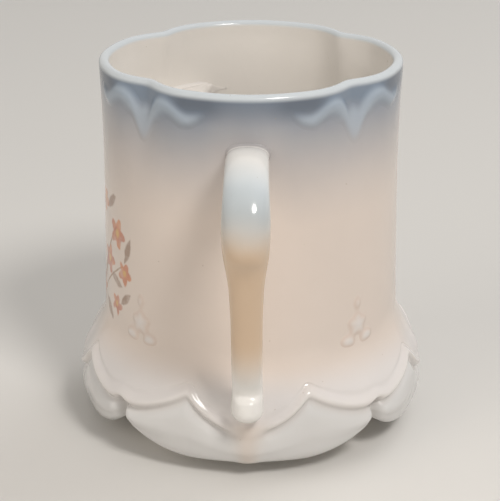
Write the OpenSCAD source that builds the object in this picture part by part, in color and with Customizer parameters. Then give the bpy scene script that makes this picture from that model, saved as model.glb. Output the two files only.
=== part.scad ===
// Porcelain mustache cup: a four-lobed barrel on a flared, scalloped base,
// with a ledge across one side of the mouth that keeps a moustache dry and a scroll handle.
// The origin lies on the table at the middle of the foot ring and +Z is up.
// The handle points to -Y and the ledge lies on the -X side, so it is a right-handed cup.
// All sizes are in millimetres.

/* [Cup wall] */
// Height from the table to the rim
cup_h = 91; // [86:1:98]
// Width across two opposite lobes of the rim
rim_d = 72; // [70:0.5:75]
// Width across the wall where it is narrowest
waist_d = 70.6; // [68.5:0.1:71.5]
// Distance of the narrowest place below the rim
waist_drop = 24; // [18:1:30]
// Width across the wall where it stands on the base
seat_d = 72; // [71:0.5:74]
// Thickness of the wall
wall_t = 3; // [2.5:0.1:3.5]
// Thickness of the rounded lip
lip_t = 2.5; // [2:0.1:2.8]
// Depth of the four cusps in the rim
rim_cusp = 3.2; // [1.5:0.1:4]
// Distance below the rim at which the cusps have died away
cusp_fade = 28; // [22:1:40]

/* [Base] */
// Height of the seam between base and wall
seat_z = 25.4; // [25:0.1:26.5]
// Width across two opposite lobes of the base
base_d = 83.2; // [82.5:0.1:87]
// Further reach of the base's lobes at their ends, where they meet in creases
lobe_end = 1.6; // [0.6:0.1:2]
// Depth of the narrow crease where two lobes meet
crease_depth = 4.4; // [3:0.1:4.8]
// Height of the lower edge over the table at the lobes
edge_lift = 3.7; // [3:0.1:4.5]
// Further rise of the lower edge at the creases
arch_rise = 7; // [5:0.1:7.4]
// Height of the brace line at the middle of a lobe
brace_low = 11.5; // [10.5:0.1:12.5]
// Height of the brace line at its two peaks
brace_peak = 20.2; // [17:0.1:20.5]
// Depth of the groove along the brace line
groove_depth = 0.9; // [0.4:0.1:1.3]
// Height of the rolled ridge over the groove
ridge_h = 0.45; // [0.2:0.05:0.7]

/* [Floor and foot] */
// Width of the floor disc
floor_d = 62; // [58:0.5:63]
// Height of the underside of the floor
floor_z = 6; // [5:0.1:6.5]
// Thickness of the floor
floor_t = 3.5; // [3:0.1:4]
// Outer width of the foot ring at the table
foot_d = 59; // [54:0.5:60]
// Width of the foot ring's flat face
foot_face = 3; // [2.4:0.1:3.6]

/* [Moustache ledge] */
// Distance of the ledge's top below the rim
ledge_drop = 15.5; // [10:0.5:18]
// Thickness of the ledge
ledge_t = 3.2; // [2.8:0.1:4]
// Reach of the ledge from the wall towards the middle
ledge_reach = 21.5; // [18:0.5:25]
// Hollow of the ledge's free edge
ledge_bow = 2.5; // [0:0.1:4]
// Length of the drinking slot along the wall
slot_len = 34; // [26:1:38]
// Width of the drinking slot at its middle
slot_w = 8.5; // [6:0.5:10]

/* [Handle] */
// Distance of the handle's upper root below the rim
handle_drop = 13.6; // [12:0.1:16]
// Height of the handle's lower root over the table
handle_low = 20; // [19:0.1:21]
// Reach of the handle from the wall
handle_reach = 29; // [26:0.5:33]
// Width of the handle's upper scroll
handle_w = 10.3; // [9:0.1:11]
// Thickness of the handle
handle_t = 7; // [6:0.1:7.4]
// Height of the spur under the upper scroll
spur_h = 2.3; // [0.5:0.1:3]

/* [Ornament] */
// Height of the scrolls and sprigs over the wall
relief_h = 1.1; // [0.6:0.1:1.6]
// Distance of the scrolls' lowest point below the rim
scroll_drop = 7.4; // [6.5:0.1:9]
// Length of the drop under each rim cusp
drop_len = 9; // [7:0.5:12]
// Height of the middle of each flower over the table
flower_z = 33; // [32.5:0.5:38]
// Width of each flower
flower_d = 6.4; // [5:0.1:8]

/* [Fit] */
// Film of slip between two luted pieces
slip_gap = 0.1; // [0.06:0.02:0.2]

/* [Hidden] */
$fn = 96;
porcelain = [0.94, 0.92, 0.89];
tinted = [0.62, 0.70, 0.82];
slip = [0.97, 0.95, 0.91];
lobes = 4;
half_lobe = 180 / lobes;
rim_r = rim_d / 2;
waist_r = waist_d / 2;
seat_r = seat_d / 2;
base_r = base_d / 2;
floor_r = floor_d / 2;
floor_top = floor_z + floor_t;
waist_z = cup_h - waist_drop;
lip_z = cup_h - lip_t / 2;
shoulder_z = seat_z - 2.9;
// the shoulder rises by this much over the peaks of the brace line
peak_lift = 1.5;
peak_spread = 7;
shoulder_step = 0.2;
// the brace line peaks this many degrees from the middle of a lobe
brace_angle = 20;
brace_end = brace_low + 2.3;
roll_w = 3;
edge_round = 2.2;
// the lower edge starts to rise this many degrees from the middle of a lobe
arch_angle = 14;
crease_angle = 1.4;
keel_h = 0.5;
keel_angle = 4;
cushion_out = 0.4;
belly_z = 12;
base_t = wall_t * 1.2;
ledge_top = cup_h - ledge_drop;
ledge_low = ledge_top - ledge_t;
ledge_round = 1.2;
ledge_chamfer = 0.15;
handle_top = cup_h - handle_drop;

// Angles run from the handle at -Y towards +X. Every lobe has the same list,
// with a place on each brace peak and closer steps towards the creases.
peak_steps = 5;
crease_steps = 6;
half_angles = concat(
  [for (i = [0:peak_steps]) brace_angle * i / peak_steps],
  [for (i = [1:crease_steps]) mix(half_lobe, brace_angle, pow(1 - i / crease_steps, 1.8))]
);
half_count = len(half_angles) - 1;
lobe_angles = concat(
  [for (i = [half_count:-1:1]) -half_angles[i]],
  [for (i = [0:half_count - 1]) half_angles[i]]
);
ring_angles = [for (k = [0:lobes - 1]) for (a = lobe_angles) a + 2 * half_lobe * k];

function clamp01(t) = max(0, min(1, t));
function ease(t) = t * t * (3 - 2 * t);
function mix(a, b, t) = a + (b - a) * t;
function bell(x, w) = exp(-pow(x / w, 2));
function from_lobe(a) = a - 2 * half_lobe * round(a / (2 * half_lobe));
function at(a, r, z) = [r * sin(a), -r * cos(a), z];

// Radius of a ring of four arcs that reaches out at the lobes and less far at the cusps
function quatrefoil(reach, cusp, a) =
  let (shift = cusp * (2 * reach - cusp) / (2 * reach - sqrt(2) * (reach - cusp)))
  let (psi = from_lobe(a))
  shift * cos(psi) + sqrt(pow(reach - shift, 2) - pow(shift * sin(psi), 2));

// Outer and inner radius of the wall
function wall_reach(z) = z > waist_z
  ? waist_r + (rim_r - waist_r) * pow((z - waist_z) / waist_drop, 2)
  : waist_r + (seat_r - waist_r) * pow((waist_z - z) / (waist_z - seat_z), 1.6);
function wall_cusp(z) = rim_cusp * (1 - ease(clamp01((cup_h - z) / cusp_fade)));
function wall_r(a, z) = quatrefoil(wall_reach(z), wall_cusp(z), a);
function bore_r(a, z) = wall_r(a, z) - mix(wall_t, lip_t, ease(clamp01((z - waist_z) / waist_drop)));

// Heights and radii of the base at an angle from the middle of a lobe
function edge_z(q) =
  let (t = clamp01((abs(q) - arch_angle) / (half_lobe - arch_angle)))
  edge_lift + arch_rise * pow(t, 2.6);
function brace_z(q) = abs(q) < brace_angle
  ? mix(brace_low, brace_peak, pow(abs(q) / brace_angle, 2.2))
  : mix(brace_end, brace_peak, pow((half_lobe - abs(q)) / (half_lobe - brace_angle), 1.5));
function lobe_reach(q, crease = 1) = quatrefoil(base_r, -lobe_end, q)
  - crease * crease_depth * bell(half_lobe - abs(q), crease_angle) + keel_h * bell(q, keel_angle);
// The base swells from the wall at the shoulder to its full reach at the belly,
// and the creases die away above the brace line
function shoulder(q) = shoulder_z + peak_lift * bell(abs(q) - brace_angle, peak_spread);
function swell(q, z) = pow(1 - pow(clamp01((z - belly_z) / (shoulder(q) - belly_z)), 4), 0.6);
function creased(z) = 1 - ease(clamp01((z - brace_end) / roll_w));
function swollen(q, z) = seat_r + (lobe_reach(q, creased(z)) - seat_r) * swell(q, z);

// Lower edge as [share of its rounding, share of the height up to the groove]
edge_shape = [[1, 0], [0.45, 0.05], [0.1, 0.2]];
// Groove and rolled ridge as [share of the ridge's width above the groove, height over the swell]
roll_shape = [[0, -groove_depth], [0.24, -groove_depth / 3], [0.59, ridge_h], [1, 0]];
shoulder_shares = [0.3, 0.58, 0.8, 0.94];
// Outside of the base from its lower edge up to the seam: edge, cushion, groove, rolled ridge and shoulder
function base_outer(q) =
  let (e = edge_z(q), g = brace_z(q), reach = lobe_reach(q))
  let (cushion = mix(e, g, 0.5), tuck = mix(e, g, 0.82))
  concat(
    [for (s = edge_shape) [reach - edge_round * s[0], mix(e, g, s[1])]],
    [[reach + cushion_out, cushion], [swollen(q, tuck) + cushion_out / 2, tuck]],
    [for (s = roll_shape) let (z = g + roll_w * s[0]) [swollen(q, z) + s[1], z]],
    [for (t = shoulder_shares) let (z = mix(g + roll_w, shoulder(q), t)) [swollen(q, z), z]],
    [[seat_r + shoulder_step, shoulder(q)], [seat_r, seat_z]]
  );

// Inside of the base from the seam down to the floor. It follows the outside a little lower.
inner_shares = [0.94, 0.72, 0.45, 0.16];
inner_lift = 2.1;
inner_top = shoulder_z - inner_lift;
heel_in = 1.4;
heel_run = 0.8;
function base_inner(q) =
  let (low = max(floor_top, edge_z(q) + wall_t))
  concat(
    [[seat_r - wall_t, seat_z], [seat_r - wall_t, inner_top]],
    [for (t = inner_shares) let (z = mix(low, inner_top, t))
      [max(seat_r - wall_t, swollen(q, z + inner_lift) - base_t), z]],
    [[max(lobe_reach(q) - base_t - heel_in, floor_r + heel_run), low], [floor_r, floor_top]]
  );

// Whole section of the base, with the underside that rises from the lower edge to the floor
under_in = 3.4;
under_rise = 1.1;
function base_profile(q) = concat(
  [[floor_r, floor_z], [lobe_reach(q) - under_in, edge_z(q) + under_rise]],
  base_outer(q),
  base_inner(q)
);
function base_skin(q, z) = lookup(z, [for (p = base_outer(q)) [p[1], p[0]]]);

// Section of the wall at an angle: up the outside, over the lip and down the inside
wall_steps = 10;
bore_steps = 7;
lip_steps = 6;
function rise(z0, z1, t) = mix(z0, z1, 1 - pow(1 - t, 1.5));
function wall_profile(a) = concat(
  [for (i = [0:wall_steps - 1]) let (z = rise(seat_z, lip_z, i / wall_steps)) [wall_r(a, z), z]],
  [for (i = [0:lip_steps]) let (t = 180 * i / lip_steps)
    [wall_r(a, lip_z) - lip_t / 2 * (1 - cos(t)), lip_z + lip_t / 2 * sin(t)]],
  [for (i = [bore_steps - 1:-1:0]) let (z = rise(seat_z, lip_z, i / bore_steps)) [bore_r(a, z), z]]
);

// Closed ring through one section per angle
module ring_loft(sections) {
  n = len(sections);
  m = len(sections[0]);
  polyhedron(
    points = [for (j = [0:n - 1]) for (p = sections[j]) at(ring_angles[j], p[0], p[1])],
    faces = [for (j = [0:n - 1]) for (k = [0:m - 1])
      let (a = j * m + k, b = j * m + (k + 1) % m)
      let (c = ((j + 1) % n) * m + (k + 1) % m, d = ((j + 1) % n) * m + k)
      each [[a, b, c], [a, c, d]]]
  );
}

// Closed skin through a row of outlines with the same count of points, with flat ends
function skin_faces(n, m) = [for (i = [0:n - 2]) for (j = [0:m - 1])
  let (a = i * m + j, b = i * m + (j + 1) % m, c = (i + 1) * m + (j + 1) % m, d = (i + 1) * m + j)
  each [[a, d, c], [a, c, b]]];
module loft(outlines) {
  n = len(outlines);
  m = len(outlines[0]);
  polyhedron(
    points = [for (o = outlines) each o],
    faces = concat(
      [[for (j = [0:m - 1]) j]],
      skin_faces(n, m),
      [[for (j = [m - 1:-1:0]) (n - 1) * m + j]]
    )
  );
}

// The same with each end closed by a fan about a point, for outlines that follow a curved wall
module fan_loft(first, outlines, last) {
  n = len(outlines);
  m = len(outlines[0]);
  polyhedron(
    points = concat([for (o = outlines) each o], [first, last]),
    faces = concat(
      [for (j = [0:m - 1]) [n * m, j, (j + 1) % m]],
      skin_faces(n, m),
      [for (j = [0:m - 1]) [n * m + 1, (n - 1) * m + (j + 1) % m, (n - 1) * m + j]]
    )
  );
}

// Barrel of the cup
module cup_wall() {
  color(porcelain) ring_loft([for (a = ring_angles) wall_profile(a)]);
}

// Flared base with four scalloped lobes in two tiers, hollow like the cup above it
module base_skirt() {
  color(porcelain) ring_loft([for (a = ring_angles) base_profile(from_lobe(a))]);
}

// Disc that closes the bottom of the base
module cup_floor() {
  flat_r = floor_r * cos(brace_angle / peak_steps);
  color(porcelain) translate([0, 0, floor_z]) cylinder(r = flat_r - slip_gap, h = floor_t);
}

// Ring under the floor, with the only face that touches the table
module foot_ring() {
  out = foot_d / 2;
  spread = 1;
  soft = 0.6;
  color(porcelain) rotate_extrude() polygon([
    [out - foot_face, 0],
    [out - soft, 0],
    [out, soft],
    [out + spread / 2, floor_z],
    [out - foot_face - spread, floor_z],
    [out - foot_face - soft, soft]
  ]);
}

// Angles across the ledge from its middle at -X, closer together towards the ends of the slot
ledge_axis = -90;
slot_steps = 8;
side_steps = 4;
ledge_bore = bore_r(ledge_axis, ledge_low);
ledge_end = acos((ledge_bore - ledge_reach) / ledge_bore);
tip_angle = 2.5;
ledge_stop = ledge_end - tip_angle;
slot_end = asin(slot_len / 2 / ledge_bore);
ledge_half = concat(
  [for (i = [1:slot_steps]) slot_end * sin(90 * i / slot_steps)],
  [for (i = [1:side_steps]) mix(slot_end, half_lobe, i / side_steps)],
  [for (i = [1:side_steps]) mix(half_lobe, ledge_stop, i / side_steps)]
);
ledge_angles = concat([for (i = [len(ledge_half) - 1:-1:0]) ledge_half[i]], [0], -ledge_half);

// Place on the wall at an angle across the ledge, depth of the slot there, and the free edge beside it
function ledge_r(a) = min(bore_r(a, ledge_low), bore_r(a, ledge_top)) - slip_gap;
function on_bore(d) = at(ledge_axis - d, ledge_r(ledge_axis - d), 0);
function slot_depth(d) = slot_w * pow(clamp01(1 - pow(d / slot_end, 2)), 0.6);
ledge_tip = on_bore(ledge_end);
function free_edge(y) = ledge_tip[0] - ledge_bow * (1 - pow(y / ledge_tip[1], 2));

// Upright section of the ledge with its corners broken on the wall side and rounded on the free side
corner = [[0, 1], [0.3, 0.3], [1, 0]];
function ledge_section(d) =
  let (w = on_bore(d), deep = slot_depth(d))
  let (x0 = w[0] + deep, x1 = free_edge(w[1]))
  let (r0 = max(ledge_chamfer, min(ledge_round, deep / 2)), r1 = min(ledge_round, (x1 - x0) * 0.45))
  concat(
    [for (i = [0:2]) [x0 + r0 * corner[i][0], w[1], ledge_low + r0 * corner[i][1]]],
    [for (i = [2:-1:0]) [x1 - r1 * corner[i][0], w[1], ledge_low + r1 * corner[i][1]]],
    [for (i = [0:2]) [x1 - r1 * corner[i][0], w[1], ledge_top - r1 * corner[i][1]]],
    [for (i = [2:-1:0]) [x0 + r0 * corner[i][0], w[1], ledge_top - r0 * corner[i][1]]]
  );

// Ledge inside the mouth with the half-moon drinking slot along the wall
module moustache_ledge() {
  color(porcelain) loft([for (d = ledge_angles) ledge_section(d)]);
}

// Fillet of slip under the ledge on each side of the slot
seam_size = 1.8;
seam_steps = 7;
seam_inset_angle = 1.5;
seam_shape = [[0, 0], [1, 0], [0.3, 0.7], [0, 1]];
module ledge_seam() {
  ends = [slot_end + seam_inset_angle, ledge_stop - seam_inset_angle];
  color(slip) for (side = [-1, 1]) loft([for (i = [0:seam_steps])
    let (a = ledge_axis + side * mix(ends[0], ends[1], side < 0 ? i / seam_steps : 1 - i / seam_steps))
    let (r = min(ledge_r(a), bore_r(a, ledge_low - seam_size) - slip_gap))
    [for (s = seam_shape) at(a, r - seam_size * s[0], ledge_low - seam_size * s[1])]
  ]);
}

// Middle line of the handle: its upper root stands on the wall and its lower root on the base.
// The places between them are [share of the reach, share of the fall].
collar_t = 3.2;
end_t = 0.8;
handle_steps = 36;
section_steps = 16;
upper_r = wall_r(0, handle_top);
lower_r = base_skin(0, handle_low);
handle_run = handle_reach - handle_t / 2;
handle_line = [
  [0.255, -0.025], [0.485, -0.036], [0.765, -0.008], [0.933, 0.06], [0.964, 0.15],
  [0.865, 0.27], [0.712, 0.43], [0.553, 0.6], [0.391, 0.78], [0.237, 0.925]
];
handle_points = concat(
  [[upper_r + collar_t, handle_top]],
  [for (p = handle_line)
    [mix(upper_r, lower_r, clamp01(p[1])) + handle_run * p[0], mix(handle_top, handle_low, p[1])]],
  [[lower_r + end_t, handle_low]]
);
function curve(pts, u) =
  let (n = len(pts) - 1, i = min(floor(u * n), n - 1), t = u * n - i)
  let (p = pts[max(i - 1, 0)], q = pts[i], r = pts[i + 1], s = pts[min(i + 2, n)])
  q + 0.5 * (t * (r - p) + t * t * (2 * p - 5 * q + 4 * r - s) + t * t * t * (3 * q - p - 3 * r + s));
function heading(u) =
  let (step = 0.004, d = curve(handle_points, min(1, u + step)) - curve(handle_points, max(0, u - step)))
  d / norm(d);
// Width, inner and outer half thickness along the handle
width_shares = [
  [0, 0.92], [0.12, 0.97], [0.3, 1.01], [0.44, 1.1], [0.53, 1.04], [0.6, 0.8], [0.7, 0.74],
  [0.85, 0.76], [1, 0.84]
];
function handle_width(u) = handle_w * lookup(u, width_shares);
function handle_in(u) = handle_t / 2 * lookup(u, [[0, 0.95], [0.2, 1], [0.5, 1], [0.62, 0.86], [1, 0.8]]);
function handle_out(u) = handle_t / 2 * lookup(u, [[0, 0.95], [0.2, 1], [0.36, 1], [0.62, 0.86], [1, 0.82]])
  + spur_h * lookup(u, [[0.36, 0], [0.44, 0.5], [0.49, 1], [0.51, 0.94], [0.535, 0.4], [0.565, 0], [1, 0]]);
section_power = 2.6;
function power_of(v) = sign(v) * pow(abs(v), 2 / section_power);
function handle_section(u) =
  let (c = curve(handle_points, u), h = heading(u), w = handle_width(u) / 2)
  [for (i = [0:section_steps - 1])
    let (b = 360 * i / section_steps, s = power_of(sin(b)))
    let (off = s * (s > 0 ? handle_out(u) : handle_in(u)))
    [w * power_of(cos(b)), -(c[0] - h[1] * off), c[1] + h[0] * off]];

// Scroll handle that arches out from the wall, ends its upper scroll in a spur and runs down to the base
module handle() {
  color(tinted) loft([for (i = [0:handle_steps]) handle_section(i / handle_steps)]);
}

// Point on the outside of the wall or the base at a sideways distance and a height
function wall_front(x, z) =
  let (r = wall_r(asin(x / waist_r), z))
  [x, -sqrt(pow(wall_r(asin(x / r), z) + slip_gap, 2) - x * x), z];
function base_front(x, z) =
  let (r = base_skin(asin(x / base_r), z))
  [x, -sqrt(pow(base_skin(asin(x / r), z) + slip_gap, 2) - x * x), z];

// Rings of a joint's foot on the cup, from the middle outwards
section_angles = [for (i = [0:section_steps - 1]) 360 * i / section_steps];
function halfway(a, b, t, pinch) = [for (i = [0:section_steps - 1])
  let (p = mix(a[i], b[i], t)) [p[0] * pinch, p[1], p[2]]];

// Collar of slip between the upper root and the wall
module handle_upper_joint() {
  z = handle_top - handle_t * 0.12;
  wide = handle_w * 0.56;
  tall = handle_t * 0.66;
  root = handle_section(0);
  foot = [for (s = [0.4, 0.75, 1]) [for (b = section_angles)
    wall_front(wide * s * cos(b), z + tall * s * sin(b))]];
  middle = handle_points[0];
  color(slip) fan_loft(
    wall_front(0, z),
    concat(foot, [halfway(foot[2], root, 0.45, 0.94)], [root]),
    [0, -middle[0], middle[1]]
  );
}

// Rounded end of the handle on the flare of the base
module handle_lower_joint() {
  z = handle_low - handle_t * 0.243;
  wide = handle_w * 0.46;
  tall = handle_t * 0.585;
  root = handle_section(1);
  foot = [for (s = [1, 0.7, 0.35]) [for (b = section_angles)
    base_front(wide * s * cos(b), z - tall * s * sin(b))]];
  middle = handle_points[len(handle_points) - 1];
  color(slip) fan_loft(
    [0, -middle[0], middle[1]],
    concat([root], [halfway(root, foot[0], 0.5, 1)], foot),
    base_front(0, z)
  );
}

// Rounded bead that lies on the wall along places of [angle, height, half width].
// The wider it is, the higher it stands.
bead_arc = 4;
function degrees(s) = s / waist_r * 180 / PI;
function bead_height(w) = relief_h * (0.4 + 0.55 * w);
function bead_ring(line, i) =
  let (p = line[i], q = line[min(i + 1, len(line) - 1)], o = line[max(i - 1, 0)])
  let (run = [(q[0] - o[0]) * waist_r * PI / 180, q[1] - o[1]], d = run / norm(run))
  [for (k = [0:bead_arc + 2])
    let (b = 180 * min(k, bead_arc) / bead_arc)
    let (side = k <= bead_arc ? cos(b) : (k - bead_arc - 1.5) / 1.5)
    let (up = k <= bead_arc ? sin(b) * bead_height(p[2]) : 0)
    let (a = p[0] - degrees(d[1] * side * p[2]), z = p[1] + d[0] * side * p[2])
    at(a, wall_r(a, z) + slip_gap + up, z)];
module bead(line) {
  n = len(line) - 1;
  ends = [for (p = [line[0], line[n]]) at(p[0], wall_r(p[0], p[1]) + slip_gap + bead_height(p[2]) / 3, p[1])];
  fan_loft(ends[0], [for (i = [0:n]) bead_ring(line, i)], ends[1]);
}

// Scrolls under the rim: an S on each side of every cusp and a drop between them.
// Places along the S are [degrees from the cusp, share of the scrolls' drop, half width].
scroll_places = [
  [4.7, 1, 0.4], [6.2, 0.82, 0.9], [8.9, 0.56, 1.4], [12.2, 0.43, 1.35], [15.5, 0.53, 1.15],
  [18.6, 0.74, 1.2], [22, 0.86, 1.2], [25.5, 0.76, 0.85], [28.6, 0.55, 0.3]
];
drop_width = [0.4, 1.4, 1.9, 1.75, 1.25, 0.7, 0.25];
drop_from = cup_h - scroll_drop * 0.72;
module rim_scrolls() {
  last = len(drop_width) - 1;
  color(tinted) for (k = [0:lobes - 1]) {
    cusp = half_lobe + 2 * half_lobe * k;
    for (side = [-1, 1])
      bead([for (p = scroll_places) [cusp + side * p[0], cup_h - scroll_drop * p[1], p[2]]]);
    bead([for (i = [0:last]) [cusp, drop_from - drop_len * i / last, drop_width[i]]]);
  }
}

// Flower with five petals that lies on the wall. Its rings run from the back to the front
// as [share of the width, share of the relief, further relief on the petals].
petals = 5;
petal_steps = 4;
petal_dip = 0.24;
flower_rings = [[0.5, 0, 0], [1, 0, 0], [0.92, 0.5, 0.2], [0.5, 0.55, 0.35]];
flower_mid = 1.1;
function flower_ring(a0, ring) = [for (i = [0:petals * petal_steps - 1])
  let (t = 360 * i / (petals * petal_steps), petal = 0.5 + 0.5 * cos(petals * (t - 90)))
  let (r = flower_d / 2 * ring[0] * (1 - petal_dip * (1 - petal)))
  let (a = a0 + degrees(r * cos(t)), z = flower_z + r * sin(t))
  at(a, wall_r(a, z) + slip_gap + relief_h * (ring[1] + ring[2] * petal), z)];
module flower(a0) {
  back = wall_r(a0, flower_z) + slip_gap;
  fan_loft(
    at(a0, back, flower_z),
    [for (ring = flower_rings) flower_ring(a0, ring)],
    at(a0, back + relief_h * flower_mid, flower_z)
  );
}

// Sprigs over the creases of the base: a flower with a leaf on each side and a bud above it
leaf_width = [0.2, 0.9, 1.2, 1, 0.25];
leaf_from = 0.8;
leaf_to = 5;
leaf_arch = 1.2;
leaf_z = flower_z - flower_d / 2 - 1.5;
bud_width = [0.25, 0.75, 0.9, 0.6, 0.2];
bud_len = 3.2;
bud_z = flower_z + flower_d / 2 + 0.6;
module corner_sprigs() {
  last = len(leaf_width) - 1;
  color(tinted) for (k = [0:lobes - 1]) {
    crease = half_lobe + 2 * half_lobe * k;
    flower(crease);
    for (side = [-1, 1])
      bead([for (i = [0:last])
        let (out = degrees(mix(leaf_from, leaf_to, i / last)), z = leaf_z + leaf_arch * sin(150 * i / last))
        [crease + side * out, z, leaf_width[i]]]);
    bead([for (i = [0:last]) [crease, bud_z + bud_len * i / last, bud_width[i]]]);
  }
}

cup_wall();
base_skirt();
cup_floor();
foot_ring();
moustache_ledge();
ledge_seam();
handle();
handle_upper_joint();
handle_lower_joint();
rim_scrolls();
corner_sprigs();
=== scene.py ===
"""Looks of the porcelain mustache cup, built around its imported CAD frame."""
import math

import bpy
import numpy as np
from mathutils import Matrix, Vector


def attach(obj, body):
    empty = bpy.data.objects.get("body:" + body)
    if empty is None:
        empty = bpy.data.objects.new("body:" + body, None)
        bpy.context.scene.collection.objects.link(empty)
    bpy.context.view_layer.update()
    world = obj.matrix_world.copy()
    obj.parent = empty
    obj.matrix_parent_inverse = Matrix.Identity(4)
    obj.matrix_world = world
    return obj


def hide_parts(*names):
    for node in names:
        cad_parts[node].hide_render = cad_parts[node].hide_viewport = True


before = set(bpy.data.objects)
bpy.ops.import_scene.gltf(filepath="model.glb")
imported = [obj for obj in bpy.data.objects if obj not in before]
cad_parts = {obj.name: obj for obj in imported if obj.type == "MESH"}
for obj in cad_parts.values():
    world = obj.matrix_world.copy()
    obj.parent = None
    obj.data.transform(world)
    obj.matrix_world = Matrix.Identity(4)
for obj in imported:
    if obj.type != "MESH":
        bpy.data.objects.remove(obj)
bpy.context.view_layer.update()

# Sizes of the cup in millimetres and degrees, with the values of the CAD source
MM = 0.001
CUP_H, LOBES = 91.0, 4
RIM_R, WAIST_R, SEAT_R = 36.0, 35.3, 36.0
WAIST_DROP, FOOT_CURVE = 24.0, 1.6
WALL_T, LIP_T, BASE_SHARE = 3.0, 2.5, 1.2
RIM_CUSP, CUSP_FADE = 3.2, 28.0
SEAT_Z, SHOULDER_DROP = 25.4, 2.9
BASE_R, LOBE_END = 41.6, 1.6
CREASE_DEPTH, CREASE_ANGLE = 4.4, 1.4
PEAK_LIFT, PEAK_SPREAD, INNER_LIFT = 1.5, 7.0, 2.1
KEEL_H, KEEL_ANGLE = 0.5, 4.0
EDGE_LIFT, ARCH_RISE, ARCH_ANGLE, ARCH_CURVE = 3.7, 7.0, 14.0, 2.6
BRACE_LOW, BRACE_RISE, BRACE_ANGLE, BRACE_CURVE = 11.5, 2.3, 20.0, 2.2
GROOVE_DEPTH, RIDGE_H = 0.9, 0.45
CUSHION_OUT, CUSHION_AT, TUCK_AT = 0.4, 0.5, 0.82
BELLY_Z, SWELL_FLAT, SWELL_ROUND = 12.0, 4, 0.6
EDGE_ROUND = 2.2
FLOOR_R, FLOOR_Z, FLOOR_T = 31.0, 6.0, 3.5
FOOT_R, FOOT_FACE = 29.5, 3.0
LEDGE_DROP, LEDGE_T, LEDGE_REACH, LEDGE_BOW = 15.5, 3.2, 21.5, 2.5
SLOT_LEN, SLOT_W = 34.0, 8.5
HANDLE_DROP, HANDLE_LOW, HANDLE_REACH = 13.6, 20.0, 29.0
HANDLE_W, HANDLE_T, SPUR_H = 10.3, 7.0, 2.3
RELIEF_H, SCROLL_DROP, DROP_LEN = 1.1, 7.4, 9.0
FLOWER_Z, FLOWER_D = 33.0, 6.4

# Sizes of the glazed skin that the CAD source has otherwise or not at all
RIM_FULL, FULL_ANGLE, FULL_SPREAD = 0.55, 29.0, 9.0
RIM_NOTCH, NOTCH_SPREAD = 0.5, 5.0
BRACE_PEAK, ROLL_W = 19.4, 3.4
BRACE_SAG, BRACE_CURL, CURL_SPREAD = 2.0, 0.9, 4.0
FLARE_TOP, FLARE_H, FLARE_SPREAD = 29.2, 14.2, 1.3 * PEAK_SPREAD
PLUMP, PLUMP_ANGLE, PLUMP_SPREAD = 1.6, 7.5, 3.0

# Values worked out from these
HALF_LOBE = 180.0 / LOBES
BRACE_END = BRACE_LOW + BRACE_RISE
SHOULDER_Z = SEAT_Z - SHOULDER_DROP
BASE_T = WALL_T * BASE_SHARE
FLOOR_TOP = FLOOR_Z + FLOOR_T
WAIST_Z = CUP_H - WAIST_DROP
LIP_Z = CUP_H - LIP_T / 2
LEDGE_TOP = CUP_H - LEDGE_DROP
LEDGE_LOW = LEDGE_TOP - LEDGE_T
HANDLE_TOP = CUP_H - HANDLE_DROP


# Small functions shared by the shapes
def clamp01(t):
    return np.clip(t, 0.0, 1.0)


def ease(t):
    t = clamp01(t)
    return t * t * (3 - 2 * t)


def mix(a, b, t):
    return a + (b - a) * t


def bell(x, w):
    return np.exp(-(np.asarray(x, float) / w) ** 2)


def from_lobe(a):
    return a - 2 * HALF_LOBE * np.round(a / (2 * HALF_LOBE))


def at(a, r, z):
    """Place at an angle from the handle at -Y towards +X, a radius and a height."""
    t = np.radians(a)
    return np.stack(np.broadcast_arrays(r * np.sin(t), -r * np.cos(t), z), axis=-1)


def soften(grid, rows=0.0, columns=0.0):
    """Gaussian softening of a grid [column, row, ...]: columns run round, rows keep their ends."""
    def kernel(sigma):
        reach = int(math.ceil(3 * sigma))
        k = np.exp(-0.5 * (np.arange(-reach, reach + 1) / sigma) ** 2)
        return reach, k / k.sum()

    if columns > 0:
        reach, k = kernel(columns)
        grid = sum(w * np.roll(grid, i - reach, axis=0) for i, w in enumerate(k))
    if rows > 0:
        reach, k = kernel(rows)
        ends = [(0, 0)] * grid.ndim
        ends[1] = (reach, reach)
        padded = np.pad(grid, ends, mode="reflect", reflect_type="odd")
        n = grid.shape[1]
        grid = sum(w * padded[:, i:i + n] for i, w in enumerate(k))
    return grid


def spline(points, counts):
    """Catmull-Rom rows through points [column, key, 2], with a count of rows for each stretch."""
    k = points.shape[1]
    rows = []
    for i, n in enumerate(counts):
        p, q = points[:, max(i - 1, 0)], points[:, i]
        r, s = points[:, i + 1], points[:, min(i + 2, k - 1)]
        for t in np.arange(n) / n:
            rows.append(q + 0.5 * (t * (r - p) + t * t * (2 * p - 5 * q + 4 * r - s)
                                   + t ** 3 * (3 * q - p - 3 * r + s)))
    return np.stack(rows, axis=1)


# Sections of the wall and of the base
def quatrefoil(reach, cusp, a):
    shift = cusp * (2 * reach - cusp) / (2 * reach - math.sqrt(2) * (reach - cusp))
    psi = np.radians(from_lobe(a))
    return shift * np.cos(psi) + np.sqrt((reach - shift) ** 2 - (shift * np.sin(psi)) ** 2)


def wall_reach(z):
    above = WAIST_R + (RIM_R - WAIST_R) * (np.maximum(z - WAIST_Z, 0) / WAIST_DROP) ** 2
    below = WAIST_R + (SEAT_R - WAIST_R) * (np.maximum(WAIST_Z - z, 0) / (WAIST_Z - SEAT_Z)) ** FOOT_CURVE
    return np.where(z > WAIST_Z, above, below)


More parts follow.
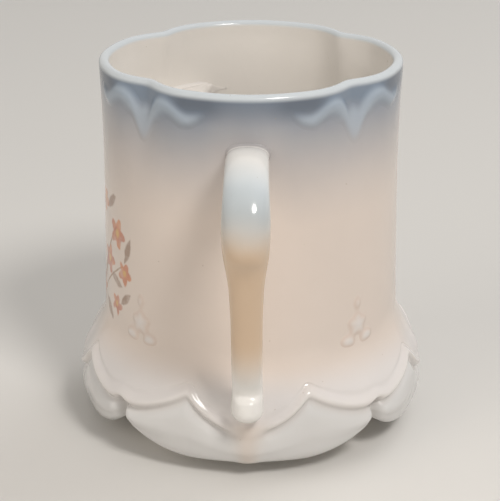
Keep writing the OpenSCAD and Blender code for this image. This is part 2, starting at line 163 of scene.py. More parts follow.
def wall_r(a, z):
    """Outside of the wall; near the rim its lobes are fuller and its cusps deeper than in the CAD source."""
    q = np.abs(from_lobe(a))
    near_rim = 1 - ease((CUP_H - z) / CUSP_FADE)
    fuller = RIM_FULL * bell(q - FULL_ANGLE, FULL_SPREAD) - RIM_NOTCH * bell(HALF_LOBE - q, NOTCH_SPREAD)
    return quatrefoil(wall_reach(z), RIM_CUSP * near_rim, a) + near_rim * fuller


def bore_r(a, z):
    return wall_r(a, z) - mix(WALL_T, LIP_T, ease((z - WAIST_Z) / WAIST_DROP))


def edge_z(q):
    t = clamp01((np.abs(q) - ARCH_ANGLE) / (HALF_LOBE - ARCH_ANGLE))
    return EDGE_LIFT + ARCH_RISE * t ** ARCH_CURVE


def brace_z(q):
    inner = mix(BRACE_LOW, BRACE_PEAK, clamp01(np.abs(q) / BRACE_ANGLE) ** BRACE_CURVE)
    t = clamp01((HALF_LOBE - np.abs(q)) / (HALF_LOBE - BRACE_ANGLE))
    outer = mix(BRACE_END, BRACE_PEAK, t ** BRACE_SAG)
    curl = BRACE_CURL * bell(HALF_LOBE - np.abs(q), CURL_SPREAD)
    return np.where(np.abs(q) < BRACE_ANGLE, inner, outer + curl)


def lobe_reach(q, crease=1.0):
    cut = crease * CREASE_DEPTH * bell(HALF_LOBE - np.abs(q), CREASE_ANGLE)
    return quatrefoil(BASE_R, -LOBE_END, q) - cut + KEEL_H * bell(q, KEEL_ANGLE)


def shoulder(q):
    return SHOULDER_Z + PEAK_LIFT * bell(np.abs(q) - BRACE_ANGLE, PEAK_SPREAD)


def swollen(q, z):
    creased = 1 - ease((z - BRACE_END) / ROLL_W)
    u = clamp01((z - BELLY_Z) / (shoulder(q) - BELLY_Z))
    return SEAT_R + (lobe_reach(q, creased) - SEAT_R) * (1 - u ** SWELL_FLAT) ** SWELL_ROUND


def slope(q, z):
    """How far the base stands out from the wall: under the glaze its swelling is a gentle flare."""
    creased = 1 - ease((z - BRACE_END) / ROLL_W)
    lift = PEAK_LIFT * bell(np.abs(q) - BRACE_ANGLE, FLARE_SPREAD)
    return (lobe_reach(q, creased) - SEAT_R) * ease((FLARE_TOP + lift - z) / FLARE_H)


# Steps and shares of a bell curve, and the degrees of one step outside and inside the wall
SOFT_STEPS = np.linspace(-2.2, 2.2, 9)
SOFT_SHARES = np.exp(-0.5 * SOFT_STEPS ** 2) / np.exp(-0.5 * SOFT_STEPS ** 2).sum()
CUSP_SOFT, BORE_SOFT = 2.3, 3.6


def soft_wall(a, z):
    """The wall with its cusps rounded by the glaze, and the slope of the base at its foot."""
    soft = sum(k * wall_r(a + CUSP_SOFT * d, z) for d, k in zip(SOFT_STEPS, SOFT_SHARES))
    return soft + slope(from_lobe(a), z)


def soft_bore(a, z):
    return sum(k * bore_r(a + BORE_SOFT * d, z) for d, k in zip(SOFT_STEPS, SOFT_SHARES))


# Mesh making
def new_object(name, mesh):
    obj = bpy.data.objects.new(name, mesh)
    bpy.context.scene.collection.objects.link(obj)
    mesh.polygons.foreach_set("use_smooth", np.ones(len(mesh.polygons), bool))
    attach(obj, "root")
    return obj


def grid_faces(columns, rows, ring=True, tube=False, start=0, flip=False):
    """Quads of a grid; ring joins the last column to the first, and tube the last row to the first."""
    c = np.arange(columns if ring else columns - 1)
    r = np.arange(rows if tube else rows - 1)
    c, r = np.meshgrid(c, r, indexing="ij")
    c1, r1 = (c + 1) % columns, (r + 1) % rows
    quads = np.stack([c * rows + r, c1 * rows + r, c1 * rows + r1, c * rows + r1], axis=-1)
    quads = quads.reshape(-1, 4)
    if flip:
        quads = quads[:, ::-1]
    return (quads + start).tolist()


def make_mesh(name, points, faces, attributes=None):
    mesh = bpy.data.meshes.new(name)
    mesh.from_pydata((np.asarray(points).reshape(-1, 3) * MM).tolist(), [], faces)
    for key, values in (attributes or {}).items():
        layer = mesh.attributes.new(key, "FLOAT", "POINT")
        layer.data.foreach_set("value", np.asarray(values, np.float32).ravel())
    mesh.update()
    return mesh


# Body: one skin from the lower edge of the base up to the lip and down inside to the floor,
# cut at the seam into the base and the wall
COLUMNS = 720
angles = np.arange(COLUMNS) * 360 / COLUMNS
lobe = from_lobe(angles)


def rz(r, z):
    """Radius and height of a row of points round the cup."""
    return np.stack(np.broadcast_arrays(np.asarray(r, float), np.asarray(z, float), angles)[:2], axis=-1)


def stack_rz(*pairs):
    return np.stack([rz(r, z) for r, z in pairs], axis=1)


# Beside the handle's end, groove and ridge fade out
PLAIN_ANGLE, PLAIN_FADE = 4.0, 3.0
turned = np.where(angles > 180, angles - 360, angles)
grooved = ease((np.abs(turned) - PLAIN_ANGLE) / PLAIN_FADE)

# Lower edge as shares of its rounding and of the height up to the brace line
EDGE_SHAPE = ((1.1, 0), (0.62, 0.06), (0.28, 0.18), (0.05, 0.34))
RIDGE_SIDE, RIDGE_MIDDLE, RIDGE_SPREAD = 1.7, 0.6, 14.0
GROOVE_LEFT, ROLL_END, ROLL_DIP = 0.1, 1.1, 0.25
SHOULDER_SHARES = (0.15, 0.3, 0.45, 0.6, 0.75, 0.88, 1)
INNER_SHARES = (0.94, 0.72, 0.45, 0.16)
HEEL_IN, HEEL_OUT = 1.4, 0.8


def outer_keys():
    e, g, reach = edge_z(lobe), brace_z(lobe), lobe_reach(lobe)
    keys = [(reach - EDGE_ROUND * s, mix(e, g, t)) for s, t in EDGE_SHAPE]
    tuck = mix(e, g, TUCK_AT)
    keys.append((reach + CUSHION_OUT, mix(e, g, CUSHION_AT)))
    keys.append((SEAT_R + slope(lobe, tuck) + CUSHION_OUT / 2, tuck))
    plump = PLUMP * bell(np.abs(lobe) - PLUMP_ANGLE, PLUMP_SPREAD)
    ridge = RIDGE_H * (mix(RIDGE_SIDE, RIDGE_MIDDLE, bell(lobe, RIDGE_SPREAD)) + plump)
    shape = ((0, -GROOVE_DEPTH), (0.26, -GROOVE_DEPTH * GROOVE_LEFT), (0.62, ridge), (ROLL_END, -ROLL_DIP))
    for t, out in shape:
        z = g + ROLL_W * t
        keys.append((SEAT_R + slope(lobe, z) + out * grooved, z))
    for t in SHOULDER_SHARES:
        z = mix(g + ROLL_END * ROLL_W, SEAT_Z, t)
        keys.append((SEAT_R + slope(lobe, z), z))
    return stack_rz(*keys)


def inner_keys():
    low = np.maximum(FLOOR_TOP, edge_z(lobe) + WALL_T)
    top = SHOULDER_Z - INNER_LIFT
    heel = np.maximum(lobe_reach(lobe) - BASE_T - HEEL_IN, FLOOR_R + HEEL_OUT)
    keys = [(SEAT_R - WALL_T, SEAT_Z), (SEAT_R - WALL_T, top)]
    for t in INNER_SHARES:
        z = mix(low, top, t)
        keys.append((np.maximum(SEAT_R - WALL_T, swollen(lobe, z + INNER_LIFT) - BASE_T), z))
    keys += [(heel, low), (FLOOR_R, FLOOR_TOP)]
    return stack_rz(*keys)


def wall_rows(z, radius):
    return stack_rz(*[(radius(angles, v), v) for v in z])


# Rows between the keys of the base's outside, of its inside and of its underside
BASE_COUNTS = (3, 4, 5, 7, 10, 8, 5, 6, 7, 6, 5, 5, 5, 5, 5, 5)
INNER_COUNTS, UNDER_COUNTS = (4, 5, 7, 8, 8, 6, 6), (3, 8, 6)
base_rows = spline(outer_keys(), BASE_COUNTS)

# On the lower tier a faint second ridge runs below the groove, and a keel hangs under the handle's end
SECOND_H, SECOND_AT, SECOND_W = 0.3, 0.6, 0.75
SECOND_FROM, SECOND_IN, SECOND_TO, SECOND_OUT = 23.0, 7.0, 43.5, 3.0
KEEL_NARROW, KEEL_BROAD, KEEL_THIN, KEEL_THICK = 2.7, 5.4, 0.45, 1.0
KEEL_RISE, KEEL_TOP, KEEL_FADE = 3.0, 6.0, 4.0
low_z = base_rows[..., 1]
edge, brace = edge_z(lobe)[:, None], brace_z(lobe)[:, None]
from_middle = np.abs(lobe)
ridge_span = ease((from_middle - SECOND_FROM) / SECOND_IN) * ease((SECOND_TO - from_middle) / SECOND_OUT)
base_rows[..., 0] += SECOND_H * bell(low_z - mix(edge, brace, SECOND_AT), SECOND_W) * ridge_span[:, None]
fall = clamp01((low_z - edge) / (brace + KEEL_RISE - edge))
keel = bell(turned[:, None], mix(KEEL_NARROW, KEEL_BROAD, fall))
keel = keel * ease((brace + KEEL_TOP - low_z) / KEEL_FADE)
base_rows[..., 0] += mix(KEEL_THIN, KEEL_THICK, fall) * keel

# Rows of the wall, and the softening of the skin in rows
WALL_ROWS, ROW_CURVE, LIP_ROWS, BORE_ROWS = 92, 1.12, 17, 50
OUTER_SOFT, INNER_SOFT = 2.0, 1.3
# Drop over which the bore takes over from the lip, and the rows of it that are softened with the base
BORE_SETTLE, OVERLAP = 6.0, 12
UNDER_IN, UNDER_UP = 3.4, 1.1
seam_row = base_rows.shape[1]
wall_z = SEAT_Z + (LIP_Z - SEAT_Z) * np.linspace(0, 1, WALL_ROWS) ** ROW_CURVE
outer = np.concatenate([base_rows, wall_rows(wall_z[:-1], soft_wall)], axis=1)
outer = soften(outer, rows=OUTER_SOFT, columns=OUTER_SOFT)
lip_turn = np.radians(np.linspace(0, 180, LIP_ROWS))
lip_edge = soft_wall(angles, LIP_Z)
lip = stack_rz(*[(lip_edge - LIP_T / 2 * (1 - np.cos(t)), LIP_Z + LIP_T / 2 * np.sin(t)) for t in lip_turn])
bore_z = SEAT_Z + (LIP_Z - SEAT_Z) * np.linspace(1, 0, BORE_ROWS)[1:]
lip_end = lip_edge - LIP_T
inner_wall = wall_rows(bore_z, soft_bore)
settle = ease((LIP_Z - bore_z) / BORE_SETTLE)[None, :]
inner_wall[..., 0] = mix(lip_end[:, None], inner_wall[..., 0], settle)
inner_base = spline(inner_keys(), INNER_COUNTS)
inner_end = stack_rz((FLOOR_R, FLOOR_TOP))
inner = np.concatenate([inner_wall[:, -OVERLAP:], inner_base[:, 1:], inner_end], axis=1)
inner = soften(inner, rows=INNER_SOFT, columns=INNER_SOFT)
under_keys = stack_rz((FLOOR_R, FLOOR_TOP), (FLOOR_R, FLOOR_Z),
                      (lobe_reach(lobe) - UNDER_IN, edge_z(lobe) + UNDER_UP),
                      (outer[:, 0, 0], outer[:, 0, 1]))
under = spline(under_keys, UNDER_COUNTS)

wall_skin = np.concatenate([outer[:, seam_row:], lip, inner_wall[:, :-OVERLAP], inner[:, :OVERLAP]], axis=1)
base_skin = np.concatenate([under[:, 1:], outer[:, :seam_row + 1], inner[:, OVERLAP - 1:]], axis=1)


def skin_points(skin):
    return at(angles[:, None], skin[..., 0], skin[..., 1])


def build_skin(name, skin, seam_rows, attributes=None):
    """Closed skin whose normals stay apart along the two rows where the seam's face meets it."""
    rows = skin.shape[1]
    mesh = make_mesh(name, skin_points(skin), grid_faces(COLUMNS, rows, tube=True), attributes)
    ends = np.empty(2 * len(mesh.edges), np.int32)
    mesh.edges.foreach_get("vertices", ends)
    row_of = ends.reshape(-1, 2) % rows
    sharp = np.any([(row_of == r).all(axis=1) for r in seam_rows], axis=0)
    mesh.attributes.new("sharp_edge", "BOOLEAN", "EDGE").data.foreach_set("value", sharp)
    return new_object(name, mesh)


wall = build_skin("wall_glazed", wall_skin, (0, wall_skin.shape[1] - 1))
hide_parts("cup_wall")

# Masks of the base: the lower tier, the groove, the roll over it, the crease, the keel and the inside; all
# but the inside carry painted light and shade in the colour
TIER_UP, TIER_FADE = 1.6, 3.2
GROOVE_SOFT, OUTSIDE_R = 0.8, 33.0
ROLL_UP, ROLL_SOFT = 1.7, 1.0
CREASE_SOFT, CREASE_END = 1.6, 2.0
base_z = base_skin[..., 1]
outer_start = under.shape[1] - 1
outer_end = outer_start + seam_row
tier = ease((brace + TIER_UP - base_z) / TIER_FADE)
groove = bell(base_z - brace, GROOVE_SOFT) * (base_skin[..., 0] > OUTSIDE_R)
roll = bell(base_z - brace - ROLL_UP, ROLL_SOFT)
crease = bell(HALF_LOBE - from_middle, CREASE_SOFT)[:, None]
crease = crease * ease((BRACE_END + ROLL_W - base_z) / CREASE_END)
inside = np.zeros_like(base_z)
inside[:, outer_end + 1:] = 1
keel_mask = np.zeros_like(base_z)
keel_mask[:, outer_start:outer_end] = keel
masks = {"tier": tier, "groove": groove, "roll": roll, "crease": crease, "keel": keel_mask}
masks = {key: value * (1 - inside) for key, value in masks.items()}
base = build_skin("base_glazed", base_skin, (outer_end, outer_end + 1), {**masks, "inside": inside})
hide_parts("base_skirt")


def lathe(name, profile, node, columns=240):
    """Closed ring turned from a closed outline of [radius, height]."""
    a = np.arange(columns) * 360 / columns
    p = np.asarray(profile, float)
    points = at(a[:, None], p[None, :, 0], p[None, :, 1])
    obj = new_object(name, make_mesh(name, points, grid_faces(columns, len(p), tube=True)))
    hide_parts(node)
    return obj


def rounded(outline, radius, steps=6, limit=0.45):
    """Closed outline with every corner rounded by a quadratic curve."""
    pts = np.asarray(outline, float)
    out = []
    for i, p in enumerate(pts):
        a, b = pts[i - 1] - p, pts[(i + 1) % len(pts)] - p
        ra, rb = (min(radius, limit * np.linalg.norm(v)) for v in (a, b))
        a, b = p + a / np.linalg.norm(a) * ra, p + b / np.linalg.norm(b) * rb
        for t in np.linspace(0, 1, steps):
            out.append((1 - t) ** 2 * a + 2 * t * (1 - t) * p + t * t * b)
    return out


# Foot ring: it narrows towards the table, with a bend in both flanks
FOOT_BEND, FOOT_TOP, FOOT_ROUND = 2.6, FLOOR_Z + 0.4, 0.7
FOOT_INNER = FOOT_R - FOOT_FACE
foot = lathe("foot_ring_bare", rounded([
    (FOOT_INNER - 0.3, 0), (FOOT_R - 0.2, 0), (FOOT_R + 0.2, FOOT_BEND), (FOOT_R + 0.5, FOOT_TOP),
    (FOOT_INNER - 1.2, FOOT_TOP), (FOOT_INNER - 0.8, FOOT_BEND)], FOOT_ROUND), "foot_ring")

# Floor: a shallow dish that meets the inside of the base at its border
FLOOR_RINGS, FLOOR_MORE = 26, 0.02
DISH_DEPTH, DISH_RISE, FLOOR_ARCH = 0.35, 0.36, 0.25
dish = np.linspace(0, 1, FLOOR_RINGS)[1:]
top_profile = [(FLOOR_R * t + FLOOR_MORE, FLOOR_TOP - DISH_DEPTH + DISH_RISE * t ** 3) for t in dish]
low_profile = [(FLOOR_R * t + FLOOR_MORE, FLOOR_Z + FLOOR_ARCH * (1 - t ** 4)) for t in dish[::-1]]


def disc(name, low, top, node, columns=180):
    """Closed disc from an underside and a top, each a list of [radius, height] with its own middle."""
    a = np.arange(columns) * 360 / columns
    p = np.asarray(low[::-1] + top[::-1], float)
    points = at(a[:, None], p[None, :, 0], p[None, :, 1]).reshape(-1, 3)
    n = len(p)
    middle = np.array([[0, 0, low[-1][1]], [0, 0, top[0][1]]])
    faces = grid_faces(columns, n)
    for c in range(columns):
        d = (c + 1) % columns
        faces.append([columns * n, d * n, c * n])
        faces.append([columns * n + 1, c * n + n - 1, d * n + n - 1])
    obj = new_object(name, make_mesh(name, np.concatenate([points, middle]), faces))
    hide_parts(node)
    return obj


floor_piece = disc("floor_glazed", low_profile, top_profile, "cup_floor")

# Moustache ledge: upright sections from tip to tip, with fillets where it is luted to the wall
LEDGE_AXIS = -90.0
FILLET, SINK = 1.5, 0.3
FREE_ROUND, SLOT_ROUND = 1.45, 1.3
SLOT_CURVE, SLOT_FADE = 0.6, 2.2
CROWN_H, CROWN_W = 0.35, 8.0
PAST_TIP, TIP_BLEND, TIP_THIN, TIP_W = 7.0, 1.8, 0.1, 1.6
# Shares of the ledge's width that its roundings and fillet may take, and rows of points
FREE_LIMIT, SLOT_LIMIT, FILLET_LIMIT = 0.45, 0.4, 0.5
SLOT_ROWS, ARM_ROWS, CORNER_ROWS, LOW_ROWS, TOP_ROWS = 34, 60, 7, 7, 9


def ledge_r(a):
    return np.minimum(soft_bore(a, LEDGE_LOW), soft_bore(a, LEDGE_TOP))


def on_bore(d):
    return at(LEDGE_AXIS - d, ledge_r(LEDGE_AXIS - d), 0.0)


ledge_bore = float(bore_r(LEDGE_AXIS, LEDGE_LOW))
ledge_end = math.degrees(math.acos((ledge_bore - LEDGE_REACH) / ledge_bore))
slot_end = math.degrees(math.asin(SLOT_LEN / 2 / ledge_bore))
half = np.concatenate([slot_end * np.sin(np.radians(np.linspace(0, 90, SLOT_ROWS)))[1:],
                       np.linspace(slot_end, ledge_end + PAST_TIP, ARM_ROWS)[1:]])
across = np.concatenate([half[::-1], [0.0], -half])
tip = on_bore(ledge_end)


def ledge_section(d):
    """Outline of the ledge in one upright plane; past the tips it runs out on the wall."""
    w = on_bore(d)
    deep = SLOT_W * float(clamp01(1 - (d / slot_end) ** 2)) ** SLOT_CURVE
    x0 = w[0] + deep
    wide = tip[0] - LEDGE_BOW * (1 - (w[1] / tip[1]) ** 2) - x0
    wide = (wide + math.hypot(wide, TIP_BLEND)) / 2
    x1 = x0 + wide
    luted = 1 - float(ease(deep / SLOT_FADE))
    r1, r0 = min(FREE_ROUND, wide * FREE_LIMIT), min(SLOT_ROUND, wide * SLOT_LIMIT)
    fil = min(FILLET, wide * FILLET_LIMIT)
    crown = CROWN_H * min(1.0, wide / CROWN_W)
    thick = float(ease(TIP_THIN + wide / TIP_W))
    turn = np.radians(np.linspace(0, 90, CORNER_ROWS))

    def inner_corner(level, side):
        out = []
        for t in turn:
            free = (x0 + r0 * (1 - math.sin(t)), level - side * r0 * (1 - math.cos(t)))
            fixed = (x0 - SINK + (fil + SINK) * (1 - math.sin(t)), level + side * fil * (1 - math.cos(t)))
            out.append(mix(np.array(free), np.array(fixed), luted))
        return out

    pts = inner_corner(LEDGE_LOW, -1)[::-1]
    pts += [np.array((mix(x0 + fil, x1 - r1, t), LEDGE_LOW)) for t in np.linspace(0, 1, LOW_ROWS)[1:-1]]
    pts += [np.array((x1 - r1 * (1 - math.sin(t)), LEDGE_LOW + r1 * (1 - math.cos(t)))) for t in turn]
    pts += [np.array((x1 - r1 * (1 - math.cos(t)), LEDGE_TOP - r1 * (1 - math.sin(t)))) for t in turn]
    pts += [np.array((mix(x1 - r1, x0 + fil, t), LEDGE_TOP + crown * math.sin(math.pi * t)))
            for t in np.linspace(0, 1, TOP_ROWS)[1:-1]]
    pts += inner_corner(LEDGE_TOP, 1)
    middle = (LEDGE_LOW + LEDGE_TOP) / 2
    return np.array([(p[0], w[1], mix(middle, p[1], thick)) for p in pts])


def loft(name, sections, attributes=None):
    """Closed skin through rings of points with a fan at each end."""
    s = np.asarray(sections)
    n, m = s.shape[:2]
    points = np.concatenate([s.reshape(-1, 3), [s[0].mean(0), s[-1].mean(0)]])
    faces = grid_faces(n, m, ring=False, tube=True, flip=True)
    for j in range(m):
        k = (j + 1) % m
        faces.append([n * m, k, j])
        faces.append([n * m + 1, (n - 1) * m + j, (n - 1) * m + k])
    if attributes:
        attributes = {key: np.concatenate([np.asarray(v).ravel(), [np.mean(v[0]), np.mean(v[-1])]])
                      for key, v in attributes.items()}
    return new_object(name, make_mesh(name, points, faces, attributes))


ledge = loft("ledge_glazed", [ledge_section(float(d)) for d in across])
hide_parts("moustache_ledge", "ledge_seam")

# Handle: one casting with its flared root on the wall and its rounded end on the base
UPPER_R = float(wall_r(0.0, HANDLE_TOP))
# Radius of the CAD source's base where the handle's end meets it
LOWER_R = 40.63
RUN = HANDLE_REACH - HANDLE_T / 2
COLLAR, ROOT_FILLET, ROOT_RISE = 3.2, 0.5, 0.3
ROOT_SINK, ROOT_CURVE, ROOT_ROWS = 0.35, 2.6, 13
END_OUT, END_UP = 4.2, 0.3
BULB_H, BULB_FROM, BULB_FADE = 1.3, 0.913, 0.034
DOME_IN, DOME_DOWN, DOME_ROWS = 3.4, 3.9, 10
AROUND, ROWS_PER_KEY, HANDLE_SOFT = 48, 16, 3.0
# Middle line from root to end, as shares of the run and of the fall
handle_line = [(0.255, -0.025), (0.485, -0.036), (0.765, -0.008), (0.933, 0.06), (0.964, 0.15),
               (0.865, 0.27), (0.712, 0.43), (0.553, 0.6), (0.391, 0.78), (0.2, 0.9)]
handle_keys = np.array(
    [(UPPER_R + COLLAR, HANDLE_TOP + ROOT_RISE)]
    + [(mix(UPPER_R, LOWER_R, max(v, 0)) + RUN * u, mix(HANDLE_TOP, HANDLE_LOW, v)) for u, v in handle_line]
    + [(LOWER_R + END_OUT, HANDLE_LOW + END_UP)])
centre = spline(handle_keys[None], [ROWS_PER_KEY] * (len(handle_keys) - 1))[0]
centre = np.concatenate([centre, handle_keys[-1:]])
centre = soften(centre[None], rows=HANDLE_SOFT)[0]
share = np.linspace(0, 1, len(centre))


def along_handle(pairs):
    """Softened values along the handle from pairs of [share of its length, value]."""
    x, y = zip(*pairs)
    return soften(np.interp(share, x, y)[None], rows=HANDLE_SOFT)[0]


width = HANDLE_W * along_handle([
    (0, 0.88), (0.12, 0.9), (0.3, 0.94), (0.44, 1.02), (0.53, 0.97), (0.61, 0.75), (0.7, 0.68),
    (0.85, 0.67), (0.92, 0.67), (0.97, 0.71), (1, 0.72)])
inner_half = HANDLE_T / 2 * along_handle([
    (0, 0.95), (0.2, 1), (0.5, 1), (0.62, 0.86), (0.88, 0.8), (0.94, 1.05), (1, 1.32)])
outer_half = HANDLE_T / 2 * along_handle([
    (0, 0.68), (0.2, 0.74), (0.32, 0.94), (0.38, 1), (0.62, 0.86), (0.84, 0.7), (0.905, 0.64), (0.95, 0.84),
    (0.98, 0.92), (1, 0.92)])
bulb = BULB_H * ease((share - BULB_FROM) / BULB_FADE)
spur = SPUR_H * along_handle([
    (0.36, 0), (0.44, 0.5), (0.49, 1), (0.51, 0.94), (0.535, 0.4), (0.565, 0), (1, 0)])
outer_half = outer_half + bulb + spur
along = np.gradient(centre, axis=0)
along /= np.linalg.norm(along, axis=1)[:, None]
turn = np.arange(AROUND) * 2 * np.pi / AROUND
power = 2 / along_handle([(0, 2.4), (0.2, 2.3), (0.6, 2.3), (1, 2.0)])
rings, front = [], []
for i, c in enumerate(centre):
    cos_p = np.sign(np.cos(turn)) * np.abs(np.cos(turn)) ** power[i]
    sin_p = np.sign(np.sin(turn)) * np.abs(np.sin(turn)) ** power[i]
    off = sin_p * np.where(sin_p > 0, outer_half[i], inner_half[i])
    radius, z = c[0] - along[i][1] * off, c[1] + along[i][0] * off
    rings.append(np.stack([width[i] / 2 * cos_p, -radius, z], axis=-1))
    front.append(0.5 + 0.5 * sin_p)


def on_wall(x, z, sink):
    r = soft_wall(np.degrees(np.arcsin(x / WAIST_R)), z) - sink
    return np.stack([x, -np.sqrt(r * r - x * x), z], axis=-1)


# The upper root runs on to the wall in a small fillet, the lower end is a bulb on the base
first, last = rings[0], rings[-1]
spread = 1 + 2 * ROOT_FILLET / HANDLE_T
upper_foot = on_wall(first[:, 0] * spread, HANDLE_TOP + (first[:, 2] - HANDLE_TOP) * spread, ROOT_SINK)
upper = []
for t in np.linspace(0, 1, ROOT_ROWS)[:-1]:
    swing = mix(upper_foot, first, 1 - (1 - t) ** ROOT_CURVE)
    swing[:, 1] = mix(upper_foot[:, 1], first[:, 1], t)
    upper.append(swing)
hub = np.array([0, -centre[-1][0], centre[-1][1]])
lower = []
for t in np.radians(np.linspace(0, 90, DOME_ROWS)[1:-1]):
    sunk = hub + np.array([0, DOME_IN * (1 - math.cos(t)), 0])
    lower.append(sunk + (last - hub) * math.cos(t) + np.array([0, 0, -DOME_DOWN * math.sin(t)]))
handle_rings = upper + rings + lower
handle_root = np.concatenate([np.linspace(1, 0, len(upper)), np.zeros(len(rings) + len(lower))])
handle_u = np.concatenate([np.zeros(len(upper)), share, np.ones(len(lower))])
handle_front = np.concatenate([np.tile(front[0], (len(upper), 1)), np.array(front),
                               np.tile(front[-1], (len(lower), 1))])
handle = loft("handle_glazed", handle_rings,
              {"run": np.repeat(handle_u[:, None], AROUND, axis=1), "front": handle_front,
               "root": np.repeat(handle_root[:, None], AROUND, axis=1)})
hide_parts("handle", "handle_upper_joint", "handle_lower_joint")


# Reliefs: slabs sunk in the wall that come out of it where their height field rises
STRAND_LOW, STRAND_GAIN, STRAND_SPREAD, STRAND_ROUND = 0.25, 0.5, 1.25, 0.9
RELIEF_SINK, RELIEF_ROOT = 0.06, 0.6


def strand(s, z, line):
    """Height field of a rounded strand along places of [arc length, height, half width]."""
    best = np.zeros_like(s)
    for (s0, z0, w0), (s1, z1, w1) in zip(line[:-1], line[1:]):
        ds, dz = s1 - s0, z1 - z0
        t = clamp01(((s - s0) * ds + (z - z0) * dz) / (ds * ds + dz * dz))
        d = np.hypot(s - s0 - t * ds, z - z0 - t * dz)
        w = mix(w0, w1, t)
        high = RELIEF_H * (STRAND_LOW + STRAND_GAIN * w)
        best = np.maximum(best, high * clamp01(1 - (d / (w * STRAND_SPREAD)) ** 2) ** STRAND_ROUND)
    return best


def curve_line(places, n=8):
    keys = np.asarray(places, float)[None]
    rows = spline(keys, [n] * (keys.shape[1] - 1))[0]
    return np.concatenate([rows, keys[0, -1:]])


# Each scroll as degrees from the cusp, share of the scrolls' drop below the rim and half width
ARC = math.radians(1) * WAIST_R
SCROLL_PLACES = [(1.2, 1.72, 0.5), (2.7, 1.36, 0.9), (4.7, 1, 1.15), (6.9, 0.74, 1.3), (9.4, 0.58, 1.4),
                 (12.4, 0.52, 1.35), (15.5, 0.6, 1.2), (18.6, 0.76, 1.2), (22, 0.88, 1.2), (25.5, 0.8, 0.9),
                 (29, 0.62, 0.3)]
DROP_WIDTHS = (0.4, 1.4, 1.9, 1.75, 1.25, 0.7, 0.25)
DROP_AT, DROP_SHARE = 0.72, 0.6
LEAFLET, LEAFLET_SHARE = 0.42, 0.7
SCROLL_HALF, SCROLL_LOW, SCROLL_HIGH, SCROLL_SOFT = 18.6, 75.6, 89.4, 3.2


def relief_patch(a0, s_half, z0, z1, height, soft, step=0.22):
    """Points, faces and heights of one slab round an angle."""
    n = int(2 * s_half / step)
    m = int((z1 - z0) / step)
    s, z = np.meshgrid(np.linspace(-s_half, s_half, n), np.linspace(z0, z1, m), indexing="ij")
    h = height(s, z)
    h = soften(soften(h, rows=soft).transpose(1, 0), rows=soft).transpose(1, 0)
    a = a0 + s / ARC
    skin_r = soft_wall(a, z)
    front_pts = at(a, skin_r + h - RELIEF_SINK, z)
    back_pts = at(a, skin_r - RELIEF_ROOT, z)
    points = np.concatenate([front_pts.reshape(-1, 3), back_pts.reshape(-1, 3)])
    faces = grid_faces(n, m, ring=False) + grid_faces(n, m, ring=False, start=n * m, flip=True)
    border = ([(i, 0) for i in range(n)] + [(n - 1, j) for j in range(1, m)]
              + [(i, m - 1) for i in range(n - 2, -1, -1)] + [(0, j) for j in range(m - 2, 0, -1)])
    ids = [i * m + j for i, j in border]
    for k, p in enumerate(ids):
        q = ids[(k + 1) % len(ids)]
        faces.append([p, p + n * m, q + n * m, q])
    heights = np.concatenate([h.ravel(), np.zeros(n * m)])
    return points, faces, heights


def relief_piece(name, patches, node):
    points, faces, heights, start = [], [], [], 0
    for p, f, h in patches:
        points.append(p)
        faces += [[i + start for i in face] for face in f]
        heights.append(h)
        start += len(p)
    mesh = make_mesh(name, np.concatenate(points), faces, {"rise": np.concatenate(heights)})
    obj = new_object(name, mesh)
    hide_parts(node)
    return obj


def below_rim(v):
    return CUP_H - SCROLL_DROP * v


def scroll_height(s, z):
    """Heights of the scrolls on both sides of a cusp, of their leaflets and of the drop between them."""
    line = curve_line([(d * ARC, below_rim(v), w) for d, v, w in SCROLL_PLACES])
    step = DROP_LEN / (len(DROP_WIDTHS) - 1)
    drop = curve_line([(0, below_rim(DROP_AT) - step * i, w) for i, w in enumerate(DROP_WIDTHS)])
    high = np.maximum(strand(np.abs(s), z, line), DROP_SHARE * strand(s, z, drop))
    for d, v, w in SCROLL_PLACES[3:8]:
        leaflet = curve_line([(d * ARC, below_rim(v), 0.8 * w),
                              ((d + 0.9) * ARC, below_rim(v + 0.2), 0.6 * w),
                              ((d + 2.4) * ARC, below_rim(v + LEAFLET), 0.15)])
        high = np.maximum(high, LEAFLET_SHARE * strand(np.abs(s), z, leaflet))
    return high


def at_cusps(*patch):
    return [relief_patch(HALF_LOBE * (2 * k + 1), *patch) for k in range(LOBES)]


scroll_patches = at_cusps(SCROLL_HALF, SCROLL_LOW, SCROLL_HIGH, scroll_height, SCROLL_SOFT)
scrolls = relief_piece("rim_relief", scroll_patches, "rim_scrolls")

# Each sprig has a flower, a leaf on each side below it and a bud above it
LEAF_WIDTHS, BUD_WIDTHS = (0.2, 0.9, 1.2, 1.0, 0.25), (0.25, 0.75, 0.9, 0.6, 0.2)
LEAF_DROP, LEAF_FROM, LEAF_TO, LEAF_BOW, LEAF_TURN = 1.5, 0.8, 5.0, 1.2, 37.5
BUD_UP, BUD_STEP, GREEN_SHARE = 0.6, 0.8, 0.7
PETALS, PETAL_CUT, FLOWER_SHARE, HEART_R, HEART_SHARE = 5, 0.24, 0.6, 0.9, 0.7
SPRIG_HALF, SPRIG_LOW, SPRIG_HIGH, SPRIG_SOFT = 6.2, 27.2, 41.2, 2.5


